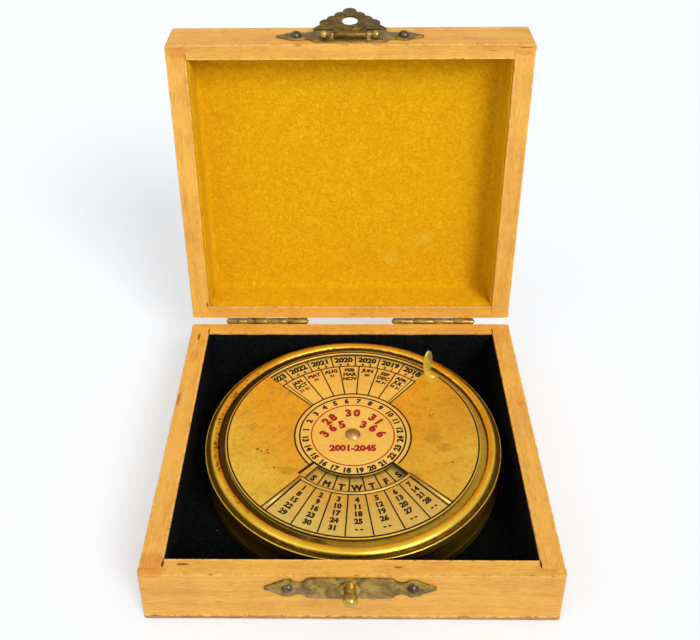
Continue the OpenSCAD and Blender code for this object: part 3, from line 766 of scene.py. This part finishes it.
def dial_brass(name, light, deep, tarnish, rough):
    """Brushed sheet with a warm uneven lustre, brown tarnish and small dark pits. It is dull in
    the field of the dates and paler in the other printed fields. Its edge walls are darkened
    as painted shade, and the ledge round the disc by grime and by painted shade to the left."""
    made, ink = material(name)
    place = in_mm(ink)
    radius, z, x, around = from_dial(ink)
    cloud = noise(ink, place, 0.055, 4, 0.6, 0.4)
    smudge = noise(ink, place, 0.20, 5, 0.65, 0.5)
    fine = noise(ink, in_mm(ink, (0.5, 1, 1)), 2.0, 5, 0.8)
    mottle = noise(ink, place, 0.8, 4, 0.7, 0.6)
    pit = noise(ink, place, 0.85, 3, 0.6).step(0.675, 0.72)
    tone = ink.colour(light).blend(deep, (cloud + smudge * 0.5).step(0.60, 0.95) * 0.8)
    tone = tone.tint((0.66, 0.54, 0.38), mottle.step(0.46, 0.72) * 0.5)
    tone = tone.blend(tarnish, (smudge - fine * 0.12).step(0.50, 0.66) * 0.45)
    tone = tone.tint((0.55, 0.42, 0.25), (fine - 0.02).step(0.50, 0.68) * 0.6)
    tone = tone.tint((0.25, 0.15, 0.08), pit * 0.75)
    for at_x, at_y, wide, deep_by, share in SPOTS:
        spot = near(ink, (at_x, at_y, DISC_TOP), (wide, deep_by, 2))
        tone = tone.tint((0.30, 0.18, 0.08), spot * share)
    field = around.step(DATE_LEFT, DATE_LEFT + 1) * around.step(DATE_RIGHT, DATE_RIGHT - 1)
    on_disc = radius.step(DISC_R - 0.4, DISC_R - 0.8)
    dull = field * radius.step(14.0, 14.5) * on_disc
    tone = tone.blend(DUST, dull * (0.4 + fine * 0.3))
    turned = (180 - ink.math("ABSOLUTE", around)) * ink.math("SIGN", x)
    behind = turned.step(MONTH_LEFT - 0.5, MONTH_LEFT) * turned.step(MONTH_RIGHT + 0.5, MONTH_RIGHT)
    middle = radius.step(RING_R + 0.2, RING_R - 0.2)
    pale = ink.math("MAXIMUM", behind * on_disc, middle) * (1 - dull)
    tone = tone.blend(CREAM, pale * 0.6)
    plate_top = 1000 * plate_z
    # The disc's edge and window walls are darkened as painted shade. The ledge round the disc is
    # grimy all round, with painted shade deepening towards the left.
    wall = z.step(DISC_TOP - 0.15, DISC_TOP - 0.3) * z.step(plate_top, plate_top + 0.1)
    ledge = radius.step(DISC_R, DISC_R + 0.3)
    left_shade = (x + (smudge - 0.5) * 30).step(6, -18)
    shade_and_grime = ink.math("MAXIMUM", wall * 0.95, ledge * (0.4 + left_shade * 0.58))
    tone = tone.tint((0.08, 0.05, 0.022), shade_and_grime)
    uneven = fine * 0.25 + mottle
    bump = ink.add("Bump", (), {"Strength": 0.55, "Distance": 0.14 * MM, "Height": uneven})
    finish_with(ink, ink.add("BsdfPrincipled", (), {
        "Base Color": tone, "Metallic": 0.85 - pale * 0.3, "Normal": bump,
        "Roughness": rough + smudge * 0.18 + pit * 0.3 + ledge * 0.15}))
    return made


SHEET, SHEET_DEEP, TARNISH = (1.0, 0.68, 0.08), (0.93, 0.58, 0.05), (0.60, 0.38, 0.07)
DUST, CREAM = (0.80, 0.60, 0.20), (1.0, 0.72, 0.22)
disc_look = dial_brass("disc_brass", SHEET, SHEET_DEEP, TARNISH, 0.34)
plate_look = dial_brass("plate_sheet", SHEET, SHEET_DEEP, TARNISH, 0.38)
dressed("rotating_disc", "printed_disc", disc_look, 0.14 * MM, "disc")
repaint("dial_plate", plate_look)
repaint("disc_washer", plate_look)


# ------------------------------------------------------------------ print on the dial
# The print is black and red enamel, a few hundredths thick. Weekdays and years stand on the
# fixed plate, each year one cell on and a leap year two; months, dates and rings on the disc.
INK_THICK = 0.02 * MM
THIN, LINE, RING, BOLD = 0.27 * MM, 0.39 * MM, 0.45 * MM, 0.062
CAP = 0.68                  # height of a capital in a font of size 1
CELLS = 28                  # the calendar comes round after 28 steps
CELL = 360 / CELLS
WEEK_IN, WEEK_OUT = 14.85 * MM, 20.2 * MM
YEAR_IN, YEAR_OUT, DISC_LINE = 28.3 * MM, 33.9 * MM, 34.5 * MM
DATE_IN, RING_OUT, RING_IN, TITLE_R = (r * MM for r in (21.1, 16.05, 14.9, 11.4))


def enamel(name, colour, worn):
    """Printed enamel, slightly uneven in tone where it has rubbed thin."""
    made, ink = material(name)
    patch = noise(ink, in_mm(ink), 0.9, 4, 0.7)
    finish_with(ink, ink.add("BsdfPrincipled", (), {
        "Base Color": ink.colour(colour).blend(worn, patch.step(0.55, 0.78) * 0.4),
        "Roughness": 0.45 + patch * 0.2, "Specular IOR Level": 0.3}))
    return made


def lettering(name, lines, z, look, body):
    """One piece of many short texts. Each is (text, height, x, y, turn), with the middle of
    the text at x, y and its foot turned by turn degrees anticlockwise."""
    joined = bmesh.new()
    for text, height, x, y, turn in lines:
        curve = bpy.data.curves.new(name, "FONT")
        curve.body, curve.align_x, curve.resolution_u = text, "CENTER", 2
        curve.bevel_depth, curve.bevel_resolution = BOLD, 0
        glyphs = bpy.data.objects.new(name, curve)
        flat = bpy.data.meshes.new_from_object(glyphs)
        centre = Matrix.Translation((0, -CAP / 2, 0))
        size = height / (CAP + 2 * BOLD)
        scale = Matrix.Diagonal((size, size, INK_THICK / 2 / BOLD, 1))
        middle = Vector((DIAL.x + x, DIAL.y + y, z + 0.4 * INK_THICK))
        place = Matrix.Translation(middle) @ Matrix.Rotation(radians(turn), 4, "Z")
        flat.transform(place @ scale @ centre)
        joined.from_mesh(flat)
        bpy.data.objects.remove(glyphs)
        bpy.data.curves.remove(curve)
        bpy.data.meshes.remove(flat)
    bmesh.ops.remove_doubles(joined, verts=joined.verts, dist=1e-7)
    mesh = bpy.data.meshes.new(name)
    joined.to_mesh(mesh)
    joined.free()
    placed(mesh, name, look, body)


def top_of(radius, angle):
    """A place by its radius and its angle clockwise from the back, and the turn of a text
    whose top points outward there."""
    a = radians(angle)
    return radius * sin(a), radius * cos(a), -angle


def foot_of(radius, angle):
    """The same for a text whose top points to the middle: anticlockwise from the front."""
    a = radians(angle)
    return radius * sin(a), -radius * cos(a), angle


def swept(path, closed, across, tall):
    """A profile, given as offsets to the left of a flat path round the dial's axis and as
    heights, carried along the path; an open path is closed at its two ends."""
    here = np.asarray(path) + np.array(DIAL.xy)
    if closed:
        ahead_by = np.roll(here, -1, 0) - np.roll(here, 1, 0)
    else:
        ahead_by = np.gradient(here, axis=0)
    ahead_by = ahead_by / np.linalg.norm(ahead_by, axis=1)[:, None]
    left = np.column_stack([-ahead_by[:, 1], ahead_by[:, 0]])
    flat = here[:, None, :] + left[:, None, :] * np.asarray(across)[None, :, None]
    high = np.broadcast_to(np.asarray(tall)[None, :, None], flat.shape[:2] + (1,))
    points = np.concatenate([flat, high], -1).reshape(-1, 3)
    rows, columns = len(here), len(across)
    faces = list(grid_faces(rows, columns, closed, True)[:, ::-1])
    if not closed:
        faces += [np.arange(columns), (rows - 1) * columns + np.arange(columns)[::-1]]
    return points, faces


def arc(radius, start, end, steps):
    """Points of an arc by angles anticlockwise from the front, in degrees."""
    a = np.radians(np.linspace(start, end, steps))
    return np.column_stack([radius * np.sin(a), -radius * np.cos(a)])


def circle(radius, steps=160):
    """Points of a whole circle, the last one step short of the first."""
    return arc(radius, 0, 360 * (1 - 1 / steps), steps)


def spoke(inner, outer, angle):
    """The two ends of a line from an inner to an outer radius."""
    return arc(1, angle, angle, 2) * np.array([[inner], [outer]])


def line(path, z, width, closed=False):
    """A printed line: a flat oblong carried along a path, sunk a little into the brass."""
    half = width / 2
    low, high = z - 0.1 * INK_THICK, z + 0.9 * INK_THICK
    return swept(path, closed, (half, -half, -half, half), (low, low, high, high))


def spokes(inner, outer, angles, z, width):
    """Printed lines from an inner to an outer radius at some angles."""
    return [line(spoke(inner, outer, angle), z, width) for angle in angles]


black_ink = enamel("black_enamel", (0.007, 0.004, 0.003), (0.04, 0.02, 0.01))
red_ink = enamel("red_enamel", (0.36, 0.008, 0.012), (0.50, 0.06, 0.03))

# Each year stands one cell on from the last, and a leap year takes two. Years past the first
# round share the cells of earlier ones, as two small digits under them.
WEEK_AT, YEAR_AT = 3.1, -1.75
YEAR_R, LATE_R, WEEK_R = 32.3 * MM, 30.3 * MM, 17.95 * MM
YEAR_HIGH, LATE_HIGH, WEEK_HIGH, LATE_APART = 2.2 * MM, 1.15 * MM, 2.1 * MM, 2.2
YEAR_HERE, FIRST_YEAR, LAST_YEAR = 2020, 2001, 2045
cells_of, cell = {}, 0
for year in range(FIRST_YEAR, LAST_YEAR + 1):
    cells_of[year] = [cell, cell + 1] if year % 4 == 0 else [cell]
    cell = cells_of[year][-1] + 1
plate_text = []
for year, cells in cells_of.items():
    for cell in cells:
        angle = -YEAR_AT + CELL / 2 - (cell - cells_of[YEAR_HERE][0]) * CELL
        if cell < CELLS:
            plate_text.append((str(year), YEAR_HIGH, *top_of(YEAR_R, angle)))
            continue
        for shift, digit in zip((-LATE_APART, LATE_APART), f"{year % 100:02d}"):
            plate_text.append((digit, LATE_HIGH, *top_of(LATE_R, angle + shift)))
for cell in range(CELLS):
    day = "SMTWTFS"[(cell + 3) % 7]
    plate_text.append((day, WEEK_HIGH, *foot_of(WEEK_R, WEEK_AT + cell * CELL)))
lettering("plate_print", plate_text, plate_z, black_ink, "case")

turns = CELL * np.arange(CELLS)
plate_lines = spokes(YEAR_IN - 1.5 * MM, YEAR_OUT + 0.6 * MM, 180 + YEAR_AT + turns, plate_z, LINE)
plate_lines += spokes(WEEK_IN - MM, WEEK_OUT + 0.3 * MM, WEEK_AT + CELL / 2 + turns, plate_z, LINE)
add_piece("plate_lines", plate_lines, black_ink, "case", smooth=False)

# Seven columns of dates, and seven of months with the number of their days under some.
DATE_EDGES = (-27.1, -15.1, -3.5, 8.4, 21.8, 34.0)
MONTH_EDGES = (-31.5, -19.7, -8.0, 4.2, 16.0, 27.5)
date_rows = [r * MM for r in (22.9, 25.1, 27.35, 29.65, 31.95)]
month_rows = [r * MM for r in (26.4, 24.5, 22.6)]
DATE_HIGH, MONTH_HIGH, DAYS_HIGH = 1.72 * MM, 1.5 * MM, 1.15 * MM
disc_text = []
edges = (DATE_LEFT + 1.5, *DATE_EDGES, DATE_RIGHT - 1.5)
for column, (a, b) in enumerate(zip(edges, edges[1:])):
    for row, radius in enumerate(date_rows):
        date = 7 * row + column + 1
        text = str(date) if date < 32 else "- -"
        disc_text.append((text, DATE_HIGH, *foot_of(radius, (a + b) / 2)))
months = (("JAN", "OCT", "31 31"), ("MAY", "31"), ("AUG", "31"), ("FEB", "MAR", "NOV"),
          ("JUN", "30"), ("SEP", "DEC", "30 31"), ("APR", "JUL", "30 31"))
edges = (MONTH_LEFT + 2.2, *MONTH_EDGES, MONTH_RIGHT - 2.2)
for names, a, b in zip(months, edges, edges[1:]):
    for radius, month in zip(month_rows, names):
        high = MONTH_HIGH if month.isalpha() else DAYS_HIGH
        disc_text.append((month, high, *top_of(radius, (a + b) / 2)))
# The numbers 1 to 24 stand round the middle: twelve over it and twelve under it.
RING_TEXT_R, RING_TEXT_HIGH = 13.1 * MM, 1.85 * MM
for step in range(12):
    angle = (step - 5.5) * 15
    disc_text.append((str(step + 1), RING_TEXT_HIGH, *top_of(RING_TEXT_R, angle)))
    disc_text.append((str(step + 13), RING_TEXT_HIGH, *foot_of(RING_TEXT_R, angle)))
lettering("disc_print", disc_text, disc_z, black_ink, "disc")

# Rings, a dark band round the weekdays' window that is painted shade of its walls, the
# columns' lines, and double lines at the ends of the two printed fields.
WINDOW_EDGE, WINDOW_SHADE_IN, WINDOW_LINE = 3.42 * CELL + 1.5, WEEK_IN - 0.3 * MM, 0.5 * MM
inner_ends = (MONTH_LEFT + 2.4, MONTH_RIGHT - 2.4)
SIDES = (DATE_LEFT, DATE_RIGHT)
month_lines = 180 - np.array((*MONTH_EDGES, MONTH_LEFT, MONTH_RIGHT))
disc_lines = [
    line(circle(DISC_LINE), disc_z, RING, True),
    line(circle(RING_IN - 0.25 * MM), disc_z, RING, True),
    line(arc(RING_OUT, DATE_RIGHT + 3, 360 + DATE_LEFT - 3, 140), disc_z, RING),
    # Dark lines along the window's sides and inner edge: painted shade of its walls.
    *spokes(WINDOW_SHADE_IN, WEEK_OUT, (-WINDOW_EDGE, WINDOW_EDGE), disc_z, 0.8 * MM),
    line(arc(WINDOW_SHADE_IN, -WINDOW_EDGE, WINDOW_EDGE, 60), disc_z, WINDOW_LINE),
    *spokes(DATE_IN, DISC_LINE - 0.3 * MM, DATE_EDGES, disc_z, LINE),
    *spokes(RING_OUT, YEAR_IN, month_lines, disc_z, LINE),
    *spokes(RING_OUT, YEAR_IN, 180 - np.array(inner_ends), disc_z, THIN),
    line(arc(YEAR_IN - 0.15 * MM, 180 - MONTH_RIGHT, 180 - MONTH_LEFT, 60), disc_z, LINE),
    line(arc(WEEK_OUT + 0.05 * MM, *SIDES, 60), disc_z, THIN),
    line(arc(DATE_IN + 0.1 * MM, *SIDES, 60), disc_z, THIN),
    *spokes(WEEK_OUT, DISC_LINE, (DATE_LEFT - 1.2, DATE_RIGHT + 1.2), disc_z, LINE),
    *spokes(DATE_IN, DISC_LINE, (DATE_LEFT + 1.5, DATE_RIGHT - 1.5), disc_z, WINDOW_LINE),
]
add_piece("disc_lines", disc_lines, black_ink, "disc", smooth=False)

# In the middle, the lengths of the months and of the year, and the span of years, in red.
TITLE_HIGH, SPAN_HIGH, SPAN_Y = 2.9 * MM, 2.35 * MM, -5.1 * MM


def bowed(text, radius, middle_y, reach):
    """A text's letters one by one along an arc that spans reach degrees either way."""
    angles = np.linspace(-reach, reach, len(text))
    return [(letter, TITLE_HIGH, x, y + middle_y, turn) for letter, angle in zip(text, angles)
            for x, y, turn in [top_of(radius, angle)] if letter != " "]


title = bowed("28 30 31", 9.6 * MM, -1.3 * MM, 50) + bowed("365 366", 9.5 * MM, -5.3 * MM, 55)
title.append((f"{FIRST_YEAR}-{LAST_YEAR}", SPAN_HIGH, 0, SPAN_Y, 0))
lettering("title_numbers", title, disc_z, red_ink, "disc")
title_ring = [line(circle(TITLE_R), disc_z, 0.34 * MM, True)]
add_piece("title_ring", title_ring, red_ink, "disc", smooth=False)


# The dates stand in a frame of half-round wire, polished by wear.
WIRE_R, WIRE_W, WIRE_HIGH = (WEEK_OUT + DATE_IN) / 2, 0.78 * MM, 0.28 * MM


def wire(path, z, width, height):
    """A half-round wire that lies along a path: a bow over a flat foot."""
    bow = np.linspace(0, pi, 7)
    return swept(path, False, -width / 2 * np.cos(bow), z + height * np.sin(bow) - 0.02 * MM)


wire_look = old_brass("wire_brass", (0.76, 0.53, 0.13), (0.42, 0.27, 0.06), 0.36, 0.2)
date_frame = [wire(spoke(WIRE_R, DISC_LINE - 0.2 * MM, angle), disc_z, WIRE_W, WIRE_HIGH)
              for angle in SIDES]
date_frame.append(wire(arc(WIRE_R, *SIDES, 60), disc_z, 0.8 * WIRE_W, 0.2 * MM))
add_piece("date_frame", date_frame, wire_look, "disc")


# ------------------------------------------------------------------ tab and rivets
# The tab is a pressed oval leaf of pale brass, riveted to the disc beside the years' window.
# The domed centre rivet is redder, and holds the disc on the plate.
tab_look = old_brass("tab_brass", (0.86, 0.72, 0.17), (0.52, 0.42, 0.06), 0.3, 0.2)
rivet_look = old_brass("rivet_brass", (0.58, 0.32, 0.10), (0.32, 0.16, 0.045), 0.36, 0.12)
dressed("turning_tab", "tab", tab_look, PLATE_EDGE, "disc")
repaint("tab_rivet", disc_look)
repaint("centre_rivet", rivet_look)
